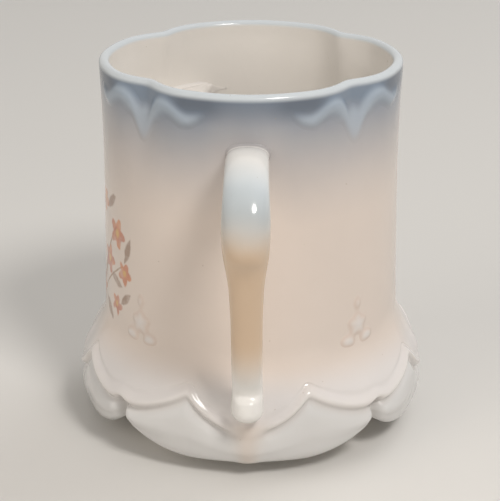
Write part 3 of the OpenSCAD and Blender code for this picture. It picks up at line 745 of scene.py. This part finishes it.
def sprig_height(s, z):
    """Heights of a sprig: two leaves, a bud, a flower of five petals and its heart."""
    leaf_z = FLOWER_Z - FLOWER_D / 2 - LEAF_DROP
    bud_z = FLOWER_Z + FLOWER_D / 2 + BUD_UP
    leaf, bud = [], []
    for i, w in enumerate(LEAF_WIDTHS):
        rise = LEAF_BOW * math.sin(math.radians(LEAF_TURN * i))
        leaf.append((mix(LEAF_FROM, LEAF_TO, i / (len(LEAF_WIDTHS) - 1)), leaf_z + rise, w))
    for i, w in enumerate(BUD_WIDTHS):
        bud.append((0, bud_z + BUD_STEP * i, w))
    leaves = strand(np.abs(s), z, curve_line(leaf))
    h = GREEN_SHARE * np.maximum(leaves, strand(s, z, curve_line(bud)))
    d = np.hypot(s, z - FLOWER_Z)
    turn_to = np.arctan2(z - FLOWER_Z, s) - math.pi / 2
    petal = 0.5 + 0.5 * np.cos(PETALS * turn_to)
    reach = FLOWER_D / 2 * (1 - PETAL_CUT * (1 - petal))
    x = d / reach
    dome = clamp01(1 - x ** 4) ** 0.6
    hollow = 0.72 + 0.28 * clamp01(x * 1.8)
    flower = FLOWER_SHARE * RELIEF_H * (0.55 + 0.35 * petal) * dome * hollow
    heart = RELIEF_H * HEART_SHARE * clamp01(1 - (d / HEART_R) ** 2) ** 0.5
    return np.maximum(h, np.maximum(flower * (d < reach), heart))


sprig_patches = at_cusps(SPRIG_HALF, SPRIG_LOW, SPRIG_HIGH, sprig_height, SPRIG_SOFT)
sprigs = relief_piece("corner_relief", sprig_patches, "corner_sprigs")


# Materials
class Tree:
    """Short calls for the nodes of one material."""

    def __init__(self, name):
        self.material = bpy.data.materials.new(name)
        self.material.use_nodes = True
        self.nodes = self.material.node_tree.nodes
        self.links = self.material.node_tree.links
        self.shader = self.nodes["Principled BSDF"]
        self.place = self.nodes.new("ShaderNodeTexCoord").outputs["Object"]

    def plug(self, socket, value):
        if isinstance(value, bpy.types.NodeSocket):
            self.links.new(value, socket)
        else:
            socket.default_value = value

    def math(self, op, *values):
        node = self.nodes.new("ShaderNodeMath")
        node.operation = op
        for socket, value in zip(node.inputs, values):
            self.plug(socket, value)
        return node.outputs[0]

    def step(self, x, low, high, to0=0.0, to1=1.0):
        node = self.nodes.new("ShaderNodeMapRange")
        node.interpolation_type = "SMOOTHSTEP"
        span = {"From Min": low, "From Max": high, "To Min": to0, "To Max": to1}
        for key, value in {"Value": x, **span}.items():
            self.plug(node.inputs[key], value)
        return node.outputs[0]

    def mix(self, share, a, b, blend="MIX"):
        # sockets 0, 6 and 7 take the share and the two colours, and output 2 gives the colour
        node = self.nodes.new("ShaderNodeMix")
        node.data_type = "RGBA"
        node.blend_type = blend
        for key, value in ((0, share), (6, a), (7, b)):
            if isinstance(value, tuple):
                value = (*value, 1.0)
            self.plug(node.inputs[key], value)
        return node.outputs[2]

    def noise(self, scale, detail=2.0, rough=0.5):
        node = self.nodes.new("ShaderNodeTexNoise")
        self.plug(node.inputs["Vector"], self.place)
        node.inputs["Scale"].default_value = scale
        node.inputs["Detail"].default_value = detail
        node.inputs["Roughness"].default_value = rough
        return node.outputs["Fac"]

    def attribute(self, name):
        node = self.nodes.new("ShaderNodeAttribute")
        node.attribute_name = name
        return node.outputs["Fac"]

    def axes(self):
        node = self.nodes.new("ShaderNodeSeparateXYZ")
        self.plug(node.inputs[0], self.place)
        return node.outputs

    def bump(self, height, strength, distance):
        node = self.nodes.new("ShaderNodeBump")
        self.plug(node.inputs["Height"], height)
        node.inputs["Strength"].default_value = strength
        node.inputs["Distance"].default_value = distance
        self.plug(self.shader.inputs["Normal"], node.outputs[0])


IVORY = (0.74, 0.648, 0.582)
CREAM = (0.75, 0.715, 0.70)
WHITE = (0.85, 0.83, 0.80)
# Painted shade: the lower tier of the base, which faces down, is given a darker white
LOWER_TIER_SHADE = (0.69, 0.68, 0.67)
INNER = (0.82, 0.785, 0.74)
BAND = (0.215, 0.265, 0.335)
NAVY = (0.105, 0.122, 0.155)
RELIEF = (0.46, 0.53, 0.61)
LIP = (0.62, 0.665, 0.70)
# Tan of the handle's lower arm: partly a tan tint, partly painted reflection of a warm floor and painted
# shade under the upper scroll
TAN_TINT_AND_REFLECTION = (0.68, 0.51, 0.36)
# Painted warm reflection and painted shade on the keel under the handle's end
KEEL_PAINTED_REFLECTION = (0.63, 0.50, 0.40)
BLUSH = (0.60, 0.45, 0.37)
HANDLE_BLUE, HANDLE_SLATE = (0.57, 0.64, 0.69), (0.42, 0.46, 0.48)
# Painted shade in the groove and in the crease, and a painted highlight on the roll
GROOVE_SHADE, ROLL_HIGHLIGHT, CREASE_SHADE = (0.56, 0.53, 0.50), (0.78, 0.745, 0.715), (0.50, 0.46, 0.42)
CLOUD, SPECK = (0.93, 0.92, 0.91), (0.38, 0.30, 0.22)
# CLAY_LOW is the darker clay at the foot ring's lowest edge
CLAY, CLAY_SHADE, CLAY_LOW = (0.70, 0.66, 0.58), (0.62, 0.57, 0.49), (0.48, 0.43, 0.36)
# Heights in metres between which the base's colour gives way to ivory
IVORY_FROM, IVORY_FULL = 0.0195, 0.0275
# Millimetres below the rim where the band starts to fade and over which it fades
BAND_FULL, BAND_FADE = 4.0, 28.0
# Millimetres below the rim between which other colours give way, outside and inside
NAVY_FROM, NAVY_TO = 2.4, 8.0
LIP_FROM, LIP_TO = 0.6, 1.9
WITHIN_FROM, WITHIN_TO = 0.2, 1.6
SPRAY_DRIFT, BRUSH_DRIFT = 5.0, 1.5


def glaze(tree, colour):
    """Finish of all glazed pieces: faint clouds and specks in the colour, soft waves in the gloss."""
    clouds = tree.step(tree.noise(55, 3, 0.55), 0.3, 0.7, 0.0, 0.22)
    colour = tree.mix(clouds, colour, tree.mix(1.0, colour, CLOUD, "MULTIPLY"))
    specks = tree.step(tree.noise(900, 1, 0.4), 0.80, 0.84, 0.0, 0.35)
    colour = tree.mix(specks, colour, SPECK)
    tree.plug(tree.shader.inputs["Base Color"], colour)
    tree.plug(tree.shader.inputs["Roughness"], tree.step(tree.noise(120, 2, 0.5), 0.25, 0.75, 0.10, 0.20))
    tree.bump(tree.noise(260, 2, 0.45), 0.12, 0.0004)
    return tree.material


def under_rim(tree):
    """Depth below the rim in millimetres, with the loose edge of airbrushed colour."""
    z = tree.axes()[2]
    depth = tree.math("MULTIPLY", tree.math("SUBTRACT", CUP_H * MM, z), 1 / MM)
    drift = tree.math("MULTIPLY", tree.math("SUBTRACT", tree.noise(38, 3, 0.6), 0.5), SPRAY_DRIFT)
    return depth, tree.math("ADD", depth, drift)


def round_lobe(tree):
    """Cosine wave round the cup: 1 at the middle of a lobe, -1 at the cusps."""
    x, y, _ = tree.axes()
    return tree.math("COSINE", tree.math("MULTIPLY", tree.math("ARCTAN2", x, y), LOBES))


def banded(tree, body):
    """Body colour with the blue-grey band, darkest below the rim between the cusps, and the pale lip."""
    depth, loose = under_rim(tree)
    wave = round_lobe(tree)
    shallow = tree.step(wave, 0.3, 1.0, 0.0, 2.2)
    reach = tree.math("ADD", loose, shallow)
    fade = tree.math("MULTIPLY_ADD", reach, -1 / BAND_FADE, 1 + BAND_FULL / BAND_FADE)
    fade = tree.math("POWER", tree.math("MINIMUM", tree.math("MAXIMUM", fade, 0.0), 1.0), 1.5)
    colour = tree.mix(fade, body, BAND)
    flank = tree.math("MULTIPLY", tree.step(wave, -0.75, -0.1), tree.step(wave, 0.5, 1.0, 1.0, 0.5))
    dark = tree.math("MULTIPLY", tree.step(depth, NAVY_FROM, NAVY_TO, 1.0, 0.0), flank)
    colour = tree.mix(tree.math("MULTIPLY", dark, 0.7), colour, NAVY)
    return tree.mix(tree.step(depth, LIP_FROM, LIP_TO, 1.0, 0.0), colour, LIP)


# Spray of blossom on the panel at -X, in millimetres along the wall and above the table: blossoms with
# their reach and turn, leaves with length, half width and tilt, stems with foot, top, lean and bow
BLOSSOMS = [(17.5, 52, 4.2, 0.4), (8.5, 58, 3.4, 1.2), (21, 43, 3.2, 0.9), (12, 44, 4.0, 0.1),
            (1.5, 50, 4.6, 0.7), (-8, 56, 3.4, 0.3), (-4, 40.5, 3.8, 1.0), (-13.5, 46.5, 3.8, 0.5),
            (-19, 55, 2.9, 0.2), (-20.5, 40.5, 2.8, 1.3), (17, 34, 2.9, 0.6), (5.5, 35.5, 3.2, 0.2)]
LEAVES = [(22.5, 49, 3.4, 1.1, 70), (14, 59, 3.6, 1.2, 35), (16.8, 40, 3.2, 1.1, -20),
          (21.5, 36.5, 3.0, 1.0, 40), (12, 31.5, 3.6, 1.2, -35), (8, 40, 3.0, 1.0, 60),
          (-2, 57.5, 3.4, 1.1, 110), (-9, 49.5, 3.2, 1.1, 150), (-15, 58.5, 3.2, 1.0, 130),
          (-11, 39, 3.4, 1.1, 200), (-22.5, 47.5, 3.0, 1.0, 100), (0.5, 32, 3.6, 1.2, 75)]
STEMS = [(3.0, 29.0, 54.0, 0.30, 0.011), (1.5, 29.0, 58.0, -0.05, -0.009), (4.0, 29.0, 45.0, 0.35, 0.045),
         (0.5, 29.0, 46.0, -0.40, -0.030)]
PETAL, PETAL_DEEP = (0.66, 0.30, 0.16), (0.52, 0.19, 0.12)
HEART, LEAF, STEM = (0.70, 0.46, 0.18), (0.36, 0.25, 0.19), (0.42, 0.29, 0.20)


def sprayed(tree, ground):
    """Ground colour with the painted spray: five-petalled blossoms, leaves and bent stems."""
    x, y, z = tree.axes()
    back = tree.math("MULTIPLY", x, -1.0)
    waver = tree.math("MULTIPLY", tree.math("SUBTRACT", tree.noise(420, 2, 0.5), 0.5), BRUSH_DRIFT)
    along = tree.math("MULTIPLY_ADD", tree.math("ARCTAN2", y, back), -WAIST_R, waver)
    high = tree.math("MULTIPLY_ADD", z, 1 / MM, waver)

    def most(masks):
        total = masks[0]
        for mask in masks[1:]:
            total = tree.math("MAXIMUM", total, mask)
        return total

    petals, hearts, leaves, stems = [], [], [], []
    for s0, z0, reach, phase in BLOSSOMS:
        ds, dz = tree.math("SUBTRACT", along, s0), tree.math("SUBTRACT", high, z0)
        d = tree.math("SQRT", tree.math("MULTIPLY_ADD", ds, ds, tree.math("MULTIPLY", dz, dz)))
        bend = tree.math("COSINE", tree.math("MULTIPLY_ADD", tree.math("ARCTAN2", dz, ds), PETALS, phase))
        edge = tree.math("MULTIPLY_ADD", bend, reach * 0.19, reach * 0.78)
        petals.append(tree.step(tree.math("SUBTRACT", d, edge), -0.35, 0.35, 1.0, 0.0))
        hearts.append(tree.step(d, reach * 0.12, reach * 0.34, 1.0, 0.0))
    for s0, z0, length, wide, tilt in LEAVES:
        c, k = math.cos(math.radians(tilt)), math.sin(math.radians(tilt))
        ds, dz = tree.math("SUBTRACT", along, s0), tree.math("SUBTRACT", high, z0)
        u = tree.math("MULTIPLY_ADD", ds, c / length, tree.math("MULTIPLY", dz, k / length))
        v = tree.math("MULTIPLY_ADD", ds, -k / wide, tree.math("MULTIPLY", dz, c / wide))
        waist = tree.math("MULTIPLY_ADD", tree.math("MULTIPLY", u, u), -1.0, 1.0)
        past = tree.math("SUBTRACT", tree.math("ABSOLUTE", v), waist)
        leaves.append(tree.step(past, -0.3, 0.3, 1.0, 0.0))
    for s0, low, top, lean, bow in STEMS:
        rise = tree.math("SUBTRACT", high, low)
        line = tree.math("MULTIPLY_ADD", tree.math("MULTIPLY_ADD", rise, bow, lean), rise, s0)
        off = tree.math("ABSOLUTE", tree.math("SUBTRACT", along, line))
        end = tree.step(high, top - 0.8, top, 1.0, 0.0)
        span = tree.math("MULTIPLY", tree.step(high, low, low + 0.8), end)
        stems.append(tree.math("MULTIPLY", tree.step(off, 0.2, 0.6, 1.0, 0.0), span))
    wear = tree.step(tree.noise(300, 3, 0.6), 0.25, 0.6, 0.55, 0.92)
    colour = tree.mix(tree.math("MULTIPLY", most(stems), wear), ground, STEM)
    colour = tree.mix(tree.math("MULTIPLY", most(leaves), wear), colour, LEAF)
    tone = tree.mix(tree.step(tree.noise(170, 2, 0.5), 0.38, 0.62), PETAL, PETAL_DEEP)
    colour = tree.mix(tree.math("MULTIPLY", most(petals), wear), colour, tone)
    return tree.mix(tree.math("MULTIPLY", most(hearts), wear), colour, HEART)


def wall_material():
    tree = Tree("wall_glaze_paint")
    z = tree.axes()[2]
    body = tree.mix(tree.step(z, IVORY_FROM, IVORY_FULL), CREAM, IVORY)
    outside = sprayed(tree, banded(tree, body))
    depth, _ = under_rim(tree)
    within = tree.mix(tree.step(depth, WITHIN_FROM, WITHIN_TO), LIP, INNER)
    normal = tree.nodes.new("ShaderNodeNewGeometry").outputs["True Normal"]
    facing = tree.nodes.new("ShaderNodeVectorMath")
    facing.operation = "DOT_PRODUCT"
    tree.plug(facing.inputs[0], normal)
    tree.plug(facing.inputs[1], tree.place)
    is_inside = tree.step(facing.outputs["Value"], -0.012, 0.012, 1.0, 0.0)
    return glaze(tree, tree.mix(is_inside, outside, within))


def base_material():
    tree = Tree("base_glaze_paint")
    # Painted shade: the lower tier is darker than the upper
    colour = tree.mix(tree.attribute("tier"), CREAM, LOWER_TIER_SHADE)
    z = tree.axes()[2]
    colour = tree.mix(tree.step(z, IVORY_FROM, IVORY_FULL), colour, IVORY)
    # Painted shade in the groove
    colour = tree.mix(tree.math("MULTIPLY", tree.attribute("groove"), 0.4), colour, GROOVE_SHADE)
    # Painted highlight on the roll
    colour = tree.mix(tree.math("MULTIPLY", tree.attribute("roll"), 0.6), colour, ROLL_HIGHLIGHT)
    # Painted shade in the crease
    colour = tree.mix(tree.math("MULTIPLY", tree.attribute("crease"), 0.35), colour, CREASE_SHADE)
    # Painted warm reflection and shade on the keel
    colour = tree.mix(tree.math("MULTIPLY", tree.attribute("keel"), 0.45), colour, KEEL_PAINTED_REFLECTION)
    colour = tree.mix(tree.attribute("inside"), colour, INNER)
    return glaze(tree, colour)


def handle_material():
    tree = Tree("handle_glaze_paint")
    run = tree.attribute("run")
    drift = tree.math("MULTIPLY_ADD", tree.noise(60, 2, 0.5), 0.08, tree.math("SUBTRACT", run, 0.04))
    blue = tree.math("MULTIPLY", tree.step(drift, 0.20, 0.34), tree.step(drift, 0.36, 0.52, 1.0, 0.0))
    blue = tree.math("MULTIPLY", blue, tree.step(tree.attribute("front"), 0.3, 0.9, 0.25, 1.0))
    # Tan on the lower arm: partly a tan tint, partly painted reflection of a warm floor and painted shade
    # under the upper scroll
    colour = tree.mix(tree.step(drift, 0.35, 0.5), WHITE, TAN_TINT_AND_REFLECTION)
    colour = tree.mix(tree.step(run, 0.74, 0.88), colour, WHITE)
    tint = tree.mix(tree.step(drift, 0.28, 0.41), HANDLE_BLUE, HANDLE_SLATE)
    colour = tree.mix(tree.math("MULTIPLY", blue, 0.9), colour, tint)
    return glaze(tree, tree.mix(tree.step(tree.attribute("root"), 0.1, 0.6), colour, banded(tree, IVORY)))


def plain_material(name, colour, shade):
    tree = Tree(name)
    return glaze(tree, tree.mix(tree.step(tree.noise(30, 2, 0.5), 0.35, 0.7, 0.0, 0.5), colour, shade))


def relief_material(name, under_band):
    """Ground colour that gives way to a paler one where the relief stands out."""
    tree = Tree(name)
    rise = tree.attribute("rise")
    if under_band:
        return glaze(tree, tree.mix(tree.step(rise, 0.05, 0.8, 0.0, 0.62), banded(tree, IVORY), RELIEF))
    inner_side = tree.step(rise, 0.2, 0.5, 1.0, 0.0)
    outline = tree.math("MULTIPLY", tree.step(rise, 0.02, 0.2, 0.0, 0.3), inner_side)
    colour = tree.mix(tree.step(rise, 0.2, 0.6, 0.0, 0.7), IVORY, CREAM)
    return glaze(tree, tree.mix(outline, colour, BLUSH))


def bare_material():
    tree = Tree("bare_foot_clay")
    grain = tree.noise(1400, 3, 0.6)
    colour = tree.mix(tree.step(grain, 0.35, 0.7), CLAY, CLAY_SHADE)
    # The clay is darker towards its lowest edge, fading out over the lowest 1.2 mm
    low_darkening = tree.step(tree.axes()[2], 0.0, 0.0012, 0.5, 0.0)
    tree.plug(tree.shader.inputs["Base Color"], tree.mix(low_darkening, colour, CLAY_LOW))
    tree.plug(tree.shader.inputs["Roughness"], tree.step(grain, 0.3, 0.7, 0.55, 0.75))
    tree.bump(grain, 0.3, 0.0001)
    return tree.material


wall.data.materials.append(wall_material())
base.data.materials.append(base_material())
handle.data.materials.append(handle_material())
ledge.data.materials.append(plain_material("ledge_glaze_paint", INNER, CREAM))
floor_piece.data.materials.append(plain_material("floor_glaze_paint", INNER, CREAM))
foot.data.materials.append(bare_material())
scrolls.data.materials.append(relief_material("rim_relief_paint", True))
sprigs.data.materials.append(relief_material("sprig_relief_paint", False))

# Stage: pale floor, soft lights and the camera
STAGE_HALF = 6.0
STAGE_COLOUR = (0.76, 0.745, 0.72, 1)
corners = [(x * STAGE_HALF, y * STAGE_HALF, 0) for x, y in ((-1, -1), (1, -1), (1, 1), (-1, 1))]
stage_mesh = bpy.data.meshes.new("stage_floor")
stage_mesh.from_pydata(corners, [], [(0, 1, 2, 3)])
stage = bpy.data.objects.new("stage_floor", stage_mesh)
bpy.context.scene.collection.objects.link(stage)
stage_paint = Tree("stage_paint")
stage_paint.shader.inputs["Base Color"].default_value = STAGE_COLOUR
stage_paint.shader.inputs["Roughness"].default_value = 0.7
stage_mesh.materials.append(stage_paint.material)


def area_light(name, place, aim, size, power, colour=(1, 1, 1), mirrored=True):
    light = bpy.data.lights.new(name, "AREA")
    light.shape = "DISK"
    light.size = size
    light.energy = power
    light.color = colour
    obj = bpy.data.objects.new(name, light)
    obj.location = place
    obj.visible_glossy = mirrored
    obj.rotation_euler = (Vector(aim) - Vector(place)).to_track_quat("-Z", "Y").to_euler()
    bpy.context.scene.collection.objects.link(obj)


CUP_MIDDLE = (0, 0, 0.045)
area_light("key_light", (0.36, -0.62, 0.80), CUP_MIDDLE, 0.26, 5.2, (1.0, 0.965, 0.925))
area_light("fill_light", (-0.9, -0.7, 0.7), CUP_MIDDLE, 1.0, 4.2, (1.0, 0.92, 0.82), mirrored=False)
area_light("back_light", (0.7, 0.6, 1.0), CUP_MIDDLE, 1.0, 4.6, mirrored=False)

# The camera and mirrored rays see a pale backdrop, and the rest is lit by a dimmer sky
SKY, SKY_STRENGTH, BACKDROP = (1.0, 0.98, 0.95, 1), 0.30, (0.80, 0.785, 0.76, 1)
world = bpy.data.worlds.new("studio")
bpy.context.scene.world = world
world.use_nodes = True
sky = world.node_tree
background = sky.nodes["Background"]
background.inputs["Color"].default_value = SKY
background.inputs["Strength"].default_value = SKY_STRENGTH
shown = sky.nodes.new("ShaderNodeBackground")
shown.inputs["Color"].default_value = BACKDROP
shown.inputs["Strength"].default_value = 1.0
ray = sky.nodes.new("ShaderNodeLightPath")
choose = sky.nodes.new("ShaderNodeMixShader")
seen = ray.outputs["Is Camera Ray"]
for kind in ("Is Glossy Ray", "Is Transmission Ray"):
    either = sky.nodes.new("ShaderNodeMath")
    either.operation = "MAXIMUM"
    sky.links.new(seen, either.inputs[0])
    sky.links.new(ray.outputs[kind], either.inputs[1])
    seen = either.outputs[0]
sky.links.new(seen, choose.inputs[0])
sky.links.new(background.outputs[0], choose.inputs[1])
sky.links.new(shown.outputs[0], choose.inputs[2])
sky.links.new(choose.outputs[0], sky.nodes["World Output"].inputs["Surface"])

# Camera as fitted to the photograph, in pixels of its longer side, degrees and metres
IMAGE_H, FOCAL_PX, SHIFT_PX = 501, 1740.0, 1
SENSOR = 36.0
PITCH = 21.0
CAMERA_PLACE = (0.007, -0.400, 0.195)
camera_data = bpy.data.cameras.new("camera")
camera_data.sensor_width = SENSOR
camera_data.lens = FOCAL_PX * SENSOR / IMAGE_H
camera_data.clip_start = 0.01
camera = bpy.data.objects.new("camera", camera_data)
camera.location = CAMERA_PLACE
yaw = math.atan2(camera.location.x, -camera.location.y) + SHIFT_PX / FOCAL_PX
camera.rotation_euler = (math.radians(90 - PITCH), 0, yaw)
bpy.context.scene.collection.objects.link(camera)
bpy.context.scene.camera = camera
bpy.context.scene.view_settings.view_transform = "Standard"
